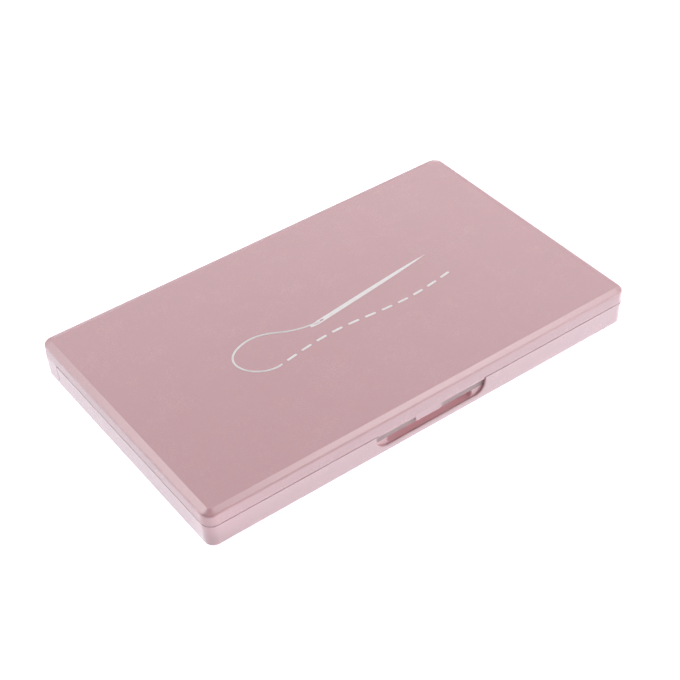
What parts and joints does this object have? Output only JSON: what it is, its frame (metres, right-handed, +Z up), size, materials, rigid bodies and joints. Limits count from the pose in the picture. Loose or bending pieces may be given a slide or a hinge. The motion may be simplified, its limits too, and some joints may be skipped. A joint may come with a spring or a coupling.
{
  "type": "magnetic needle case",
  "caption": "Flat hinged plastic case with a thumb notch and snap tab, holding needles and pins on a magnetic sheet glued in its tray.",
  "frame": {"origin": "middle of the underside, which the closed case stands on", "axes": "+X along the hinge, the longest side; +Y from the thumb notch to the hinge; +Z up"},
  "size_m": [0.115, 0.0694, 0.0099],
  "materials": {
    "case_plastic": "satin moulded plastic, dusty pink",
    "adhesive": "tacky acrylic adhesive",
    "magnet_rubber": "matte ferrite rubber",
    "cover_film": "smooth white vinyl"
  },
  "bodies": {
    "base": {"base_shell": "case_plastic", "magnet_adhesive": "adhesive", "magnet_sheet": "magnet_rubber", "magnet_cover_film": "cover_film"},
    "lid": {"lid_shell": "case_plastic"}
  },
  "joints": [
    {"name": "lid_hinge", "type": "hinge", "parent": "base", "child": "lid", "pos_m": [0, 0.0313, 0.00335], "axis": [-1, 0, 0], "range_deg": [0, 100]}
  ]
}
